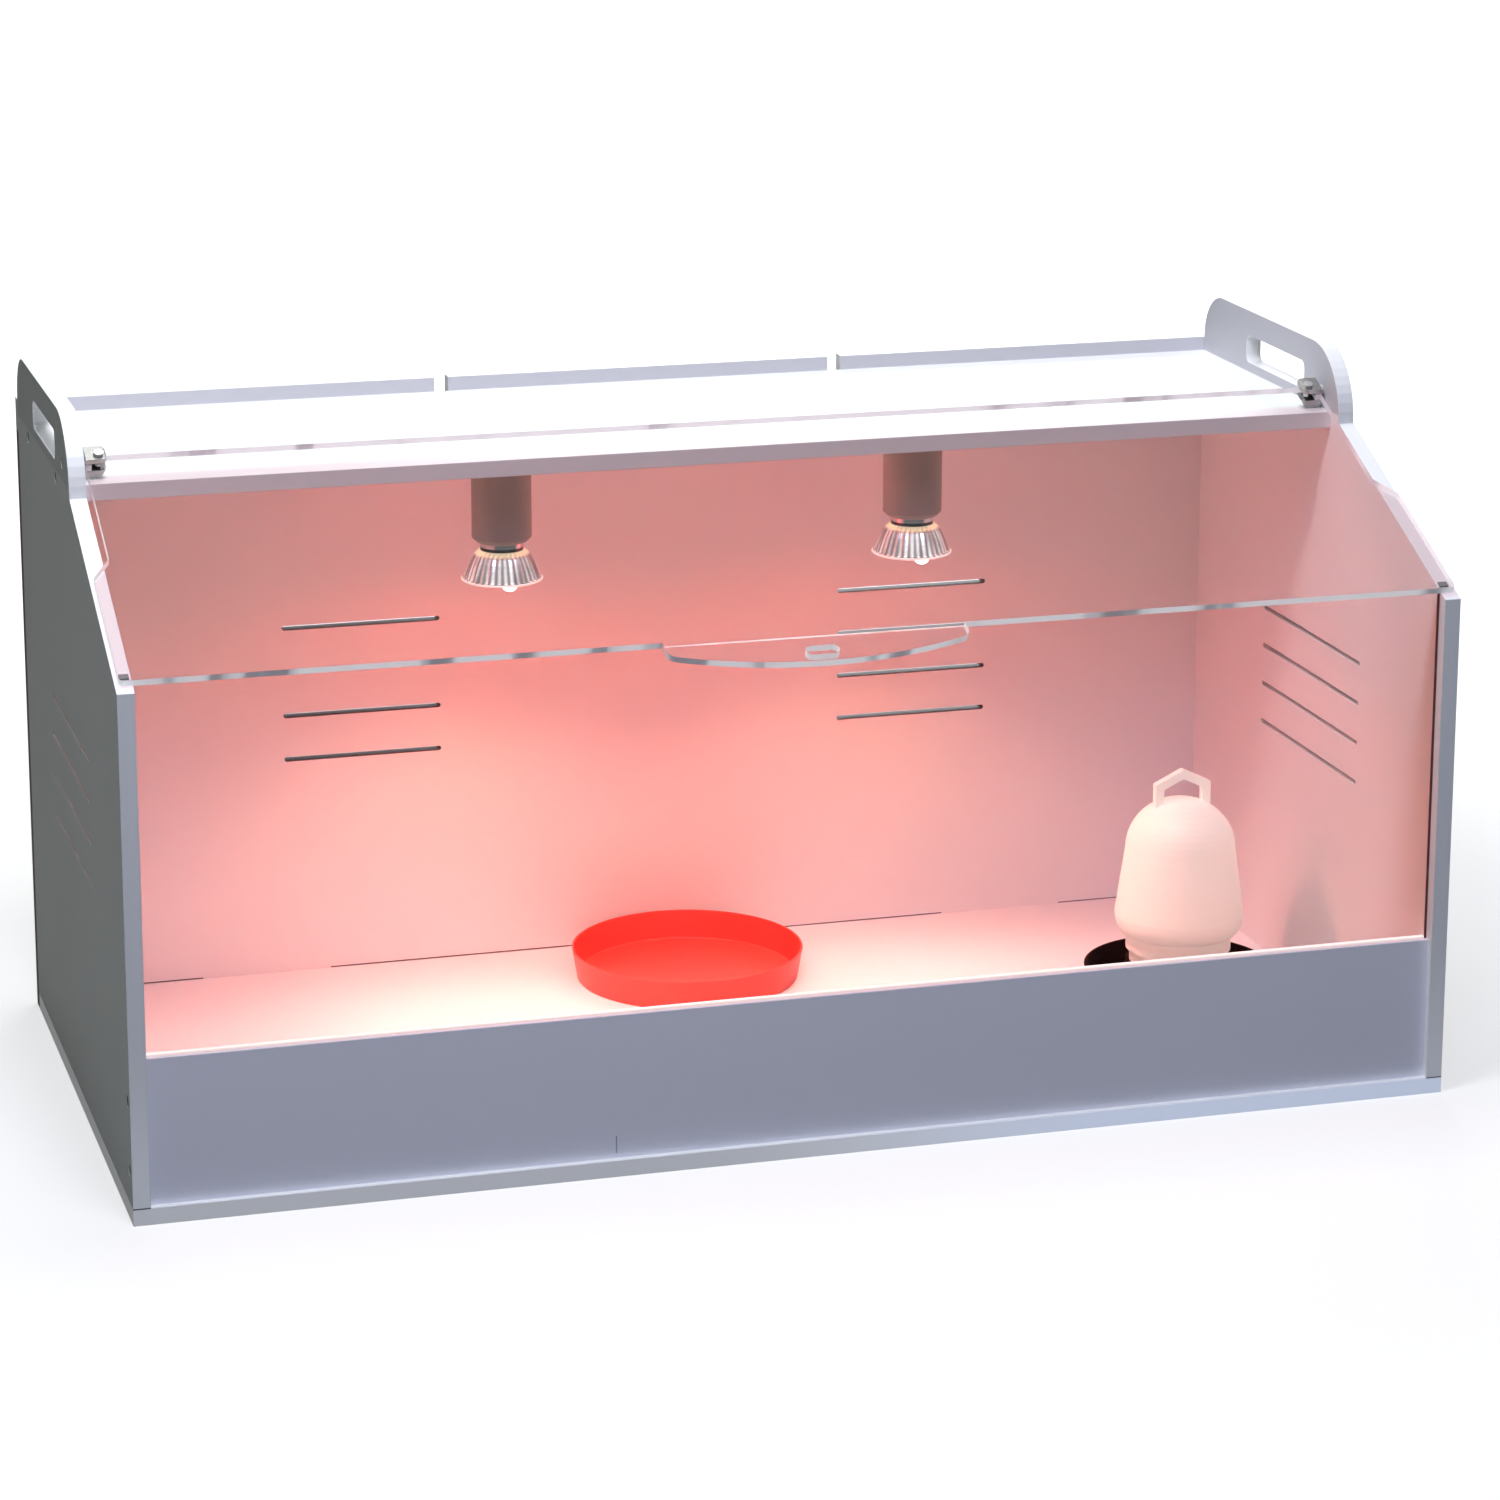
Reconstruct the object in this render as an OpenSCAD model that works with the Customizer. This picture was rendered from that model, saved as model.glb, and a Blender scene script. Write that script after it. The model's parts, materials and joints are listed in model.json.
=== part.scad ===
// Chick brooder box: white sheet panels screwed together, a sloping clear lid on two clamp hinges,
// a clear front window, two heat lamps under the top panel, a feed tray and a drinker.
// Millimetres, +X to the right, +Y to the back, +Z up; the origin lies under the middle of the box.

/* [Box] */
// Outside width of the box
box_w = 800; // [700:10:1000]
// Depth of the side panels, from front edge to rear edge
side_d = 390; // [385:5:460]
// Thickness of the white panels
panel_t = 10; // [8:0.5:12]
// Height of the front edges of the sides
front_h = 310; // [280:5:340]
// Depth of the sloping edge of the sides
slope_run = 165; // [155:5:180]
// Angle of the sloping edge and of the lid
slope_deg = 24; // [21:1:27]
// Distance of the top panel's front edge behind the head of the slope
top_setback = 12; // [8:1:18]
// Width of the floor's tabs in the back panel
floor_tab_w = 84; // [60:2:100]
// Distance of the floor's tabs from the side panels
floor_tab_in = 96; // [80:2:120]
// Gap between floor and back panel beside the tabs
floor_gap = 0.8; // [0.4:0.1:1.2]
// Rise of the back panel above the top panel
back_rise = 9; // [6:1:14]

/* [Ears and handles] */
// Rise of the carrying ears above the top panel
ear_rise = 40; // [38:1:50]
// Radius of an ear's front corner
ear_front_r = 44; // [30:1:44]
// Radius of an ear's rear corner
ear_rear_r = 30; // [15:1:35]
// Height of a handle slot
handle_h = 18; // [14:1:20]
// Corner radius of a handle slot
handle_r = 5; // [3:0.5:8.5]
// Distance from the top panel up to a handle slot
handle_lift = 6; // [4:1:9]
// Distance of a handle slot's front end behind the hinge axis
handle_front = 28; // [20:1:40]
// Distance of a handle slot's rear end from the sides' rear edges
handle_rear = 73; // [50:1:80]

/* [Front] */
// Height of the front panel
front_panel_h = 87; // [70:1:120]
// Distance of the front panel behind the sides' front edges
front_setback = 4.5; // [2:0.5:8]
// Thickness of the clear front window
window_t = 3; // [2:0.5:4]
// Depth of the window's grooves in the sides
side_groove_d = 3; // [2:0.5:4]
// Depth of the window's groove in the front panel's top edge
front_groove_d = 5; // [3:0.5:8]
// Rise of the window above the sides' front edges
window_rise = 2.4; // [1:0.2:3]

/* [Lid] */
// Thickness of the clear lid
lid_t = 4; // [3:0.5:4.5]
// Distance of the lid's front edge behind the sides' front edges
lid_front_inset = 4.5; // [2:0.5:8]
// Distance of the lid's wide part from the sides' outer faces
lid_side_inset = 2; // [1:0.5:4]
// Gap between the lid's narrow part and the ears
lid_ear_gap = 3; // [2:0.5:5]
// Length of the lid's wide part
lid_wide_l = 94; // [80:1:110]
// Length of the step from the wide part to the narrow part
lid_step_l = 16; // [8:1:24]
// Corner radius of the lid
lid_corner_r = 3; // [1:0.5:4]
// Width of the front tab
tab_w = 180; // [140:2:220]
// Depth of the front tab at its middle
tab_d = 26; // [23:1:32]
// Depth of the front tab at its sides
tab_side_d = 12; // [8:1:16]
// Corner radius of the front tab
tab_r = 7; // [3:0.5:8]
// Length of the finger slot in the tab
finger_l = 20; // [16:1:26]
// Height of the finger slot in the tab
finger_h = 8; // [7:0.5:9]
// Distance of the finger slot's middle in front of the lid's front edge
finger_out = 16; // [14:0.5:17]
// Thickness of the bumpers under the lid
bumper_t = 1; // [0.6:0.1:1.6]
// Width of a bumper
bumper_w = 5.5; // [4:0.5:6]
// Length of a bumper along the slope
bumper_l = 4; // [3:0.5:8]
// Distance of the bumpers behind the sides' front edges
bumper_y = 13; // [10:0.5:20]
// Distance of the bumpers' middles from the sides' outer faces
bumper_in = 6; // [5:0.5:6.5]

/* [Hinges] */
// Distance of the hinge axis behind the head of the slope
hinge_back = 28; // [26:0.5:34]
// Diameter of a hinge pin
pin_d = 4; // [3:0.5:5]
// Diameter of a hinge pin's countersunk head
pin_head_d = 7; // [6:0.5:9]
// Gap between an ear and its hinge clamp
clamp_gap = 2; // [1.5:0.1:3]
// Width of a hinge clamp
clamp_w = 13.5; // [12:0.5:16]
// Length of a hinge clamp along the lid
clamp_l = 13; // [12:0.5:13.5]
// Thickness of a clamp's wall beside the ear
clamp_web = 4.3; // [4:0.1:5]
// Thickness of a clamp's upper jaw
jaw_top_t = 3.2; // [2.5:0.1:3.6]
// Thickness of a clamp's lower jaw
jaw_low_t = 4.6; // [3:0.1:4.8]
// Thickness of the pads between a clamp and the lid
pad_t = 0.5; // [0.3:0.1:0.6]
// Diameter of a clamp screw
clamp_screw_d = 3; // [2.5:0.5:3.5]
// Diameter of a clamp screw's head
clamp_head_d = 6; // [5:0.5:7]
// Height of a clamp screw's head
clamp_head_h = 1.8; // [1.2:0.1:2]
// Outer diameter of a hinge washer
washer_d = 8; // [7:0.5:9]

/* [Vents] */
// Slots in each group of vents
vent_count = 4; // [2:1:5]
// Width of a vent slot
vent_w = 3; // [2:0.5:4]
// Length of a side vent
side_vent_l = 154; // [120:2:170]
// Distance of the side vents' middle behind the middle of the sides
side_vent_shift = 2; // [-10:1:10]
// Height of the lowest side vent
side_vent_z = 163.5; // [140:0.5:180]
// Spacing of the side vents
side_vent_pitch = 25.5; // [20:0.5:30]
// Length of a back vent
back_vent_l = 103; // [80:1:120]
// Distance of a back vent group from the middle of the box
back_vent_x = 186; // [150:1:220]
// Height of the lowest back vent
back_vent_z = 153; // [130:1:170]
// Spacing of the back vents
back_vent_pitch = 29; // [22:0.5:32]
// Width of a cable notch in the back panel
notch_w = 9; // [7:0.5:12]
// Depth of a cable notch below the top panel
notch_drop = 12; // [10:1:20]

/* [Panel screws] */
// Diameter of a panel screw
screw_d = 4; // [3:0.5:4.5]
// Diameter of a panel screw's head
screw_head_d = 7.5; // [6.5:0.5:8]
// Length of a panel screw
screw_l = 35; // [25:1:40]
// Distance of a screw's head below the panel's face
screw_sink = 0.4; // [0.2:0.1:0.8]
// Spacing of the screws in each end of the top panel
top_screw_pitch = 120; // [80:5:150]
// Spacing of the screws in each end of the front panel
front_screw_pitch = 41; // [30:1:44]
// Distance of the outer screws of a row from the ends of the row
screw_end = 60; // [45:5:80]

/* [Lamps] */
// Distance of each lamp from the middle of the box
lamp_x = 131; // [110:1:160]
// Distance of the lamps behind the top panel's front edge
lamp_setback = 48; // [41:1:90]
// Diameter of a lampholder
holder_d = 36.5; // [36:0.5:44]
// Height of a lampholder
holder_h = 50; // [49:0.5:56]
// Bevel at a lampholder's mouth
holder_bevel = 2.5; // [1:0.5:3]
// Thickness of a lampholder's base
holder_base_t = 15; // [12:0.5:16]
// Diameter of a lampholder's cable entry
cable_entry_d = 7; // [5:0.5:8]
// Diameter of a bulb's screw cap
cap_d = 26.2; // [25.6:0.1:26.4]
// Wall of the screw shell in a lampholder
shell_t = 0.6; // [0.4:0.1:0.8]
// Length of the screw shell
shell_l = 26; // [20:1:28]
// Diameter of a lampholder's fixing screws
holder_screw_d = 3; // [2.5:0.5:3.5]
// Spacing of a lampholder's fixing screws
holder_screw_pitch = 18; // [17:0.5:19]
// Height of the centre contact in a lampholder
contact_h = 3.8; // [3:0.1:4.5]
// Gap between a lampholder and a bulb's neck collar
collar_gap = 1; // [0.5:0.1:2]
// Height of a bulb's neck collar
collar_h = 4.3; // [3:0.1:6]
// Height of a bulb's reflector
reflector_h = 16.8; // [14:0.1:22]
// Diameter of a reflector at its neck
neck_d = 27.6; // [27:0.1:30]
// Diameter of a reflector at its mouth
mouth_d = 45; // [42:0.5:50]
// Diameter of a reflector's rim
rim_d = 48.4; // [47.5:0.1:54]
// Height of a reflector's rim
rim_h = 2; // [1.5:0.1:3]
// Ribs round a reflector
rib_count = 28; // [20:1:36]
// Height of a reflector's ribs
rib_h = 0.7; // [0.3:0.1:1]
// Wall of a reflector
reflector_t = 1.2; // [1:0.1:1.6]
// Depth of the dome of a bulb's lens
lens_dome = 3.5; // [2:0.5:5]
// Diameter of a bulb's inner capsule
capsule_d = 9; // [7:0.5:11]

/* [Feed tray] */
// Diameter of the tray's base
tray_base_d = 143; // [112:1:150]
// Flare of the tray's wall from base to rim
tray_flare = 3.5; // [1:0.5:6]
// Height of the tray
tray_h = 20; // [15:0.5:30]
// Wall of the tray
tray_t = 1.4; // [1:0.1:2.5]
// Place of the tray right of the middle of the box
tray_x = 10; // [-60:1:60]
// Gap between the tray and the back panel
tray_gap = 2; // [1:0.5:60]

/* [Drinker] */
// Gap between the drinker and the right side panel
drinker_gap = 28; // [5:1:60]
// Distance of the drinker's middle in front of the middle of the sides
drinker_shift = 5; // [-10:1:30]
// Diameter of the dish's foot
dish_foot_d = 112; // [100:1:120]
// Flare of the dish's wall from foot to rim
dish_flare = 4; // [1:0.5:6]
// Height of the dish
dish_h = 20; // [16:0.5:24]
// Wall of the dish
dish_t = 2; // [1.6:0.1:2.6]
// Height of the jar's seat above the foot
seat_h = 8; // [6:0.5:10]
// Height of the socket that holds the jar
socket_h = 24; // [22:0.5:28]
// Width of a water gap under the socket
water_gap_w = 12; // [8:0.5:16]
// Diameter of the jar's neck
jar_neck_d = 62; // [56:0.5:64]
// Diameter of the jar's collar
jar_collar_d = 67; // [66:0.5:72]
// Height of the jar's collar above the foot
jar_collar_z = 32; // [30:0.5:36]
// Height of the jar's collar ring
jar_collar_h = 10; // [6:0.5:14]
// Largest diameter of the jar
jar_d = 82; // [76:0.5:90]
// Height of the jar's rounded lower end
jar_heel_h = 14; // [10:0.5:18]
// Height of the jar's tapering wall
jar_wall_h = 42; // [30:1:60]
// Diameter of the jar at its shoulder
jar_shoulder_d = 70; // [60:0.5:75]
// Height of the jar's dome
jar_dome_h = 33; // [26:0.5:38]
// Wall of the jar
jar_t = 1.8; // [1.4:0.1:2.4]
// Height of the jar's handle above the dome
jar_handle_h = 19; // [17:0.5:24]
// Width of the jar's handle
jar_handle_w = 37; // [32:0.5:42]
// Thickness of the jar's handle
jar_handle_t = 5.4; // [4:0.1:6]
// Rise of the handle's ridge above its shoulders
jar_ridge_h = 9; // [6:0.5:11]

/* [Fits] */
// Radial clearance of pins and screws in their holes
pin_fit = 0.05; // [0.03:0.01:0.09]
// Radial clearance between a bulb's cap and the screw shell
cap_fit = 0.3; // [0.2:0.05:0.4]
// Clearance of the window in its grooves and of the floor's tabs in the back panel
sheet_fit = 0.1; // [0.05:0.05:0.2]
// Clearance between the lid's pieces and what they pass or rest on
lid_fit = 0.2; // [0.1:0.05:0.3]
// Radial clearance of the jar in its socket
jar_fit = 0.3; // [0.2:0.05:0.5]

/* [Hidden] */
$fn = 64;
arc_steps = 12;
// Overrun of every cut past the face that it opens
over = 1;

box_d = side_d + panel_t;
inner_x = box_w / 2 - panel_t;
slope_rise = slope_run * tan(slope_deg);
top_y = slope_run + top_setback;
top_z = front_h + top_y * tan(slope_deg);
ceiling_z = top_z - panel_t;
back_h = top_z + back_rise;
ear_z = top_z + ear_rise;
ear_front_drop = ear_z - front_h - slope_rise;
handle_z = top_z + handle_lift + handle_h / 2;

front_panel_z = panel_t + front_panel_h;
front_panel_y = front_setback + panel_t / 2;
window_low_z = front_panel_z - front_groove_d;
window_x = inner_x + side_groove_d - sheet_fit;

hinge_y = slope_run + hinge_back;
hinge_z = front_h + hinge_y * tan(slope_deg) + (bumper_t + lid_t / 2) / cos(slope_deg);
handle_low_y = hinge_y + handle_front;
handle_high_y = side_d - handle_rear;
lid_l = (hinge_y - lid_front_inset + lid_t / 2 * sin(slope_deg)) / cos(slope_deg);
lid_tail = lid_t / 2;
clamp_x = inner_x - clamp_gap;
throat_half = lid_t / 2 + pad_t;
bevel_share = 0.33;
clamp_bevel = jaw_top_t * bevel_share;
clamp_round = clamp_l / 4;
slant_share = 0.75;
clamp_slant = jaw_low_t * slant_share;
clamp_screw_x = clamp_x - (clamp_web + clamp_w) / 2;
clamp_screw_y = -clamp_l / 8;
lid_notch_x = clamp_x - clamp_web - lid_fit;
pin_reach = clamp_web - lid_fit;

holder_bore_r = cap_d / 2 + shell_t + cap_fit + pin_fit;
cap_tip_z = -(holder_base_t + contact_h);
collar_z = -(holder_h + collar_gap);
reflector_z = collar_z - collar_h;
lamp_y = top_y + lamp_setback;
holder_head_d = 2 * holder_screw_d;
holder_head_h = holder_screw_d / 2;
grip_share = 0.8;
holder_screw_l = holder_base_t + panel_t * grip_share;

side_vent_y = side_d / 2 + side_vent_shift;
tray_rim_r = tray_base_d / 2 + tray_flare;
tray_y = side_d - tray_gap - tray_rim_r;
dish_rim_r = dish_foot_d / 2 + dish_flare;
drinker_x = inner_x - drinker_gap - dish_rim_r;
drinker_y = side_d / 2 - drinker_shift;
jar_top_z = jar_collar_z + jar_collar_h + jar_heel_h + jar_wall_h + jar_dome_h;
socket_r = jar_neck_d / 2 + jar_fit;
lug_h = socket_h / 8;
lug_z = socket_h - socket_h / 4 - lug_h;
lug_deg = 12;
twist_deg = 60;
lug_turn = 30;
lug_count = 2;
water_gap_count = 3;

white = "whitesmoke";
clear = [0.82, 0.88, 0.92, 0.4];
nickel = [0.72, 0.71, 0.68];
steel = [0.55, 0.55, 0.56];
ivory = [0.98, 0.93, 0.85];

// Outlines with rounded corners
function unit(v) = v / norm(v);
function flat(p) = [p[0], p[1]];
function turn(from, to) = (to - from + 540) % 360 - 180;
function arc(centre, r, start, sweep) = oval(centre, r, r, start, sweep);

// The corner [x, y, radius] between its neighbours, as an arc
function round_corner(a, b, c) = b[2] == 0 ? [flat(b)] :
    let (
        u = unit(flat(a) - flat(b)),
        v = unit(flat(c) - flat(b)),
        half = acos(u * v) / 2,
        centre = flat(b) + unit(u + v) * b[2] / sin(half),
        first = flat(b) + u * b[2] / tan(half) - centre,
        last = flat(b) + v * b[2] / tan(half) - centre,
        start = atan2(first[1], first[0])
    ) arc(centre, b[2], start, turn(start, atan2(last[1], last[0])));

function rounded(corners) = let (n = len(corners))
    [for (i = [0 : n - 1]) each round_corner(corners[(i + n - 1) % n], corners[i], corners[(i + 1) % n])];

// Points of an ellipse from the angle start over the angle sweep
function oval(centre, rx, ry, start, sweep) =
    [for (k = [0 : arc_steps])
        centre + [rx * cos(start + sweep * k / arc_steps), ry * sin(start + sweep * k / arc_steps)]];

// Depths are counted from the sides' front edges; this moves them to the part's frame
module placed() {
    translate([0, -box_d / 2, 0]) children();
}

// A shape for the right side, or its mirror image for the left
module handed(side) {
    mirror([side < 0 ? 1 : 0, 0, 0]) children();
}

module slot(length, width) {
    square([length - width, width], center = true);
    for (s = [-1, 1]) translate([s * (length - width) / 2, 0]) circle(d = width);
}

// A plane of depth and height, thickened towards +X
module upright(thick) {
    rotate([90, 0, 90]) linear_extrude(thick) children();
}

// A plane of width and height, thickened towards +Y
module facing(thick) {
    translate([0, thick, 0]) rotate([90, 0, 0]) linear_extrude(thick) children();
}

// Countersunk screws, head up, with the head's face at zero
module sunk_screw(d, head_d, length) {
    head_h = (head_d - d) / 2;
    rotate_extrude()
        polygon([[0, 0], [head_d / 2, 0], [d / 2, -head_h], [d / 2, -length], [0, -length]]);
}

module sunk_hole(d, head_d, length, sink) {
    translate([0, 0, sink]) cylinder(h = over, d = head_d + 2 * pin_fit);
    cylinder(h = sink, d = head_d + 2 * pin_fit);
    rotate_extrude()
        polygon([
            [0, 0], [head_d / 2 + pin_fit, 0], [d / 2 + pin_fit, -(head_d - d) / 2],
            [d / 2 + pin_fit, -length - pin_fit], [0, -length - pin_fit]
        ]);
}

module panel_screw() {
    sunk_screw(screw_d, screw_head_d, screw_l);
}

module panel_screw_hole() {
    sunk_hole(screw_d, screw_head_d, screw_l, screw_sink);
}

// Screws through one side into the ends of the top panel and the front panel
module side_screw_sites() {
    for (s = [-1, 1]) {
        translate([box_w / 2 - screw_sink, (top_y + side_d + s * top_screw_pitch) / 2, top_z - panel_t / 2])
            rotate([0, 90, 0]) children();
        translate([
            box_w / 2 - screw_sink, front_panel_y,
            panel_t + (front_panel_h - front_groove_d + s * front_screw_pitch) / 2
        ]) rotate([0, 90, 0]) children();
    }
}

// Screws through the back panel into the sides, the floor and the top panel
module back_screw_sites() {
    translate([0, box_d - screw_sink, 0]) {
        for (s = [-1, 1], z = [screw_end, back_h / 2, ceiling_z - screw_end])
            translate([s * (box_w - panel_t) / 2, 0, z]) rotate([-90, 0, 0]) children();
        for (k = [-1, 0, 1], z = [panel_t / 2, top_z - panel_t / 2])
            translate([k * (inner_x - screw_end), 0, z]) rotate([-90, 0, 0]) children();
    }
}

// Screws up through the floor into the sides and the front panel
module floor_screw_sites() {
    translate([0, 0, screw_sink]) {
        for (s = [-1, 1], y = [screw_end, side_d / 2, side_d - screw_end])
            translate([s * (box_w - panel_t) / 2, y, 0]) rotate([180, 0, 0]) children();
        for (k = [-1, 0, 1])
            translate([k * (inner_x - screw_end), front_panel_y, 0]) rotate([180, 0, 0]) children();
    }
}

module all_panel_screw_holes() {
    for (side = [-1, 1]) handed(side) side_screw_sites() panel_screw_hole();
    back_screw_sites() panel_screw_hole();
    floor_screw_sites() panel_screw_hole();
}

// Hinge frame: X along the axis, Y up the lid, Z out of the lid
module at_hinge() {
    placed() translate([0, hinge_y, hinge_z]) rotate([slope_deg, 0, 0]) children();
}

module at_lamp(side) {
    placed() translate([side * lamp_x, lamp_y, ceiling_z]) children();
}

module at_tray() {
    placed() translate([tray_x, tray_y, panel_t]) children();
}

module at_drinker() {
    placed() translate([drinker_x, drinker_y, panel_t]) children();
}

// White panels
module floor_tabs(fit) {
    middle = inner_x - floor_tab_in - floor_tab_w / 2;
    for (s = [-1, 1]) translate([s * middle - floor_tab_w / 2 - fit, side_d - panel_t])
        square([floor_tab_w + 2 * fit, 2 * panel_t + fit]);
}

module floor_panel() {
    color(white) placed() difference() {
        linear_extrude(panel_t) {
            translate([-box_w / 2, 0]) square([box_w, side_d - floor_gap]);
            floor_tabs(0);
        }
        back_screw_sites() panel_screw_hole();
        floor_screw_sites() panel_screw_hole();
    }
}

module side_outline() {
    polygon(rounded([
        [0, panel_t, 0],
        [side_d, panel_t, 0],
        [side_d, ear_z, min(ear_rear_r, ear_rise)],
        [slope_run, ear_z, min(ear_front_r, ear_front_drop - lid_fit)],
        [slope_run, front_h + slope_rise, 0],
        [0, front_h, 0]
    ]));
}

module handle_slot() {
    low = handle_z - handle_h / 2;
    high = handle_z + handle_h / 2;
    polygon(rounded([
        [handle_low_y, low, handle_r], [handle_high_y, low, handle_r],
        [handle_high_y, high, handle_r], [handle_low_y, high, handle_r]
    ]));
}

module side_panel() {
    difference() {
        translate([inner_x, 0, 0]) upright(panel_t) difference() {
            side_outline();
            handle_slot();
            for (k = [0 : vent_count - 1])
                translate([side_vent_y, side_vent_z + k * side_vent_pitch]) slot(side_vent_l, vent_w);
        }
        translate([inner_x - over, front_panel_y - window_t / 2 - sheet_fit, window_low_z])
            cube([side_groove_d + over, window_t + 2 * sheet_fit, ear_z]);
        side_screw_sites() panel_screw_hole();
        back_screw_sites() panel_screw_hole();
        floor_screw_sites() panel_screw_hole();
        translate([box_w / 2 - screw_sink, hinge_y, hinge_z]) rotate([0, 90, 0])
            sunk_hole(pin_d, pin_head_d, panel_t, screw_sink);
    }
}

module left_side_panel() {
    color(white) placed() handed(-1) side_panel();
}

module right_side_panel() {
    color(white) placed() handed(1) side_panel();
}

module back_panel() {
    notch_h = back_h - ceiling_z + notch_drop;
    color(white) placed() difference() {
        translate([0, side_d, 0]) facing(panel_t) difference() {
            translate([-box_w / 2, 0]) square([box_w, back_h]);
            for (s = [-1, 1]) {
                for (k = [0 : vent_count - 1])
                    translate([s * back_vent_x, back_vent_z + k * back_vent_pitch])
                        slot(back_vent_l, vent_w);
                translate([s * lamp_x, back_h - notch_h / 2 + notch_w]) rotate(90)
                    slot(notch_h + 2 * notch_w, notch_w);
            }
        }
        translate([0, 0, -over]) linear_extrude(panel_t + over) floor_tabs(sheet_fit);
        back_screw_sites() panel_screw_hole();
    }
}

module top_panel() {
    color(white) difference() {
        placed() difference() {
            translate([-inner_x, top_y, ceiling_z]) cube([2 * inner_x, side_d - top_y, panel_t]);
            all_panel_screw_holes();
        }
        for (side = [-1, 1]) at_lamp(side) holder_screw_sites() holder_screw_hole();
    }
}

module front_panel() {
    color(white) placed() difference() {
        translate([-inner_x, front_setback, panel_t]) cube([2 * inner_x, panel_t, front_panel_h]);
        translate([-box_w / 2, front_panel_y - window_t / 2 - sheet_fit, window_low_z])
            cube([box_w, window_t + 2 * sheet_fit, front_panel_h]);
        all_panel_screw_holes();
    }
}

module front_window() {
    color(clear) placed() translate([-window_x, front_panel_y - window_t / 2, window_low_z])
        cube([2 * window_x, window_t, front_h + window_rise - window_low_z]);
}

// Lid: right half of its outline, from the hinge edge to the front tab
function lid_half() = let (
    wide_x = box_w / 2 - lid_side_inset,
    narrow_x = inner_x - lid_ear_gap,
    notch_y = -clamp_l / 2 - lid_fit
) [
    [lid_notch_x, lid_tail, 0],
    [lid_notch_x, notch_y, 0],
    [narrow_x, notch_y, 0],
    [narrow_x, -lid_l + lid_wide_l + lid_step_l, lid_corner_r],
    [wide_x, -lid_l + lid_wide_l, lid_corner_r],
    [wide_x, -lid_l, lid_corner_r],
    [tab_w / 2, -lid_l, 0],
    [tab_w / 2, -lid_l - tab_side_d, tab_r]
];

// The bow of the tab between its corners
function tab_bow() = let (
    sag = tab_d - tab_side_d,
    r = (pow(tab_w / 2, 2) + sag * sag) / (2 * sag),
    reach = asin((tab_w / 2 - 2 * tab_r) / r)
) arc([0, -lid_l - tab_d + r], r, -90 + reach, -2 * reach);

function lid_outline() = let (
    half = lid_half(),
    bow = [for (p = tab_bow()) [p[0], p[1], 0]],
    n = len(half)
) rounded(concat(half, bow, [for (i = [n - 1 : -1 : 0]) [-half[i][0], half[i][1], half[i][2]]]));

module lid_panel() {
    color(clear) at_hinge() translate([0, 0, -lid_t / 2]) linear_extrude(lid_t) difference() {
        polygon(lid_outline());
        translate([0, -lid_l - finger_out]) slot(finger_l, finger_h);
        for (s = [-1, 1]) translate([s * clamp_screw_x, clamp_screw_y])
            circle(d = clamp_screw_d + 2 * pin_fit);
    }
}

module lid_bumpers() {
    color("dimgray") for (s = [-1, 1])
        placed() translate([s * (box_w / 2 - bumper_in), bumper_y, front_h + bumper_y * tan(slope_deg)])
            rotate([slope_deg, 0, 0]) translate([-bumper_w / 2, -bumper_l / 2, 0])
                cube([bumper_w, bumper_l, bumper_t]);
}

// Hinge clamps: a jaw over and a jaw under the lid, joined beside the ear
function clamp_profile() = let (free_x = clamp_x - clamp_w, top = throat_half + jaw_top_t) [
    [clamp_x, -throat_half - jaw_low_t],
    [clamp_x, top - clamp_bevel],
    [clamp_x - clamp_bevel, top],
    [free_x + clamp_bevel, top],
    [free_x, top - clamp_bevel],
    [free_x, throat_half],
    [clamp_x - clamp_web, throat_half],
    [clamp_x - clamp_web, -throat_half],
    [free_x, -throat_half],
    [free_x + clamp_slant, -throat_half - jaw_low_t]
];

module clamp_plan() {
    polygon(rounded([
        [clamp_x, -clamp_l / 2, 0],
        [clamp_x, clamp_l / 2, 0],
        [clamp_x - clamp_w, clamp_l / 2, clamp_round],
        [clamp_x - clamp_w, -clamp_l / 2, clamp_round]
    ]));
}

module hinge_clamp() {
    depth = 2 * (throat_half + jaw_low_t);
    difference() {
        intersection() {
            rotate([90, 0, 0]) linear_extrude(clamp_l, center = true) polygon(clamp_profile());
            linear_extrude(depth, center = true) clamp_plan();
        }
        translate([clamp_x - clamp_web - over, 0, 0]) rotate([0, 90, 0])
            cylinder(h = clamp_web + 2 * over, d = pin_d + 2 * pin_fit);
        translate([clamp_screw_x, clamp_screw_y, -throat_half - jaw_low_t / 2])
            cylinder(h = depth, d = clamp_screw_d + 2 * pin_fit);
    }
}

module left_hinge_clamp() {
    color(nickel) at_hinge() handed(-1) hinge_clamp();
}

module right_hinge_clamp() {
    color(nickel) at_hinge() handed(1) hinge_clamp();
}

module clamp_pads() {
    pad_w = clamp_w - clamp_web - clamp_slant;
    color("black") at_hinge() for (s = [-1, 1], z = [-throat_half, lid_t / 2]) handed(s)
        difference() {
            translate([clamp_x - clamp_web - pad_w, -clamp_l / 2, z])
                cube([pad_w, clamp_l / 2 + lid_tail, pad_t]);
            translate([clamp_screw_x, clamp_screw_y, z - over])
                cylinder(h = pad_t + 2 * over, d = clamp_screw_d + 2 * pin_fit);
        }
}

module clamp_screws() {
    top = throat_half + jaw_top_t;
    reach = jaw_top_t + 2 * throat_half + jaw_low_t / 3;
    color(steel) at_hinge() for (s = [-1, 1])
        translate([s * clamp_screw_x, clamp_screw_y, top]) {
            cylinder(h = clamp_head_h, d = clamp_head_d);
            translate([0, 0, -reach]) cylinder(h = reach, d = clamp_screw_d);
        }
}

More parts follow.
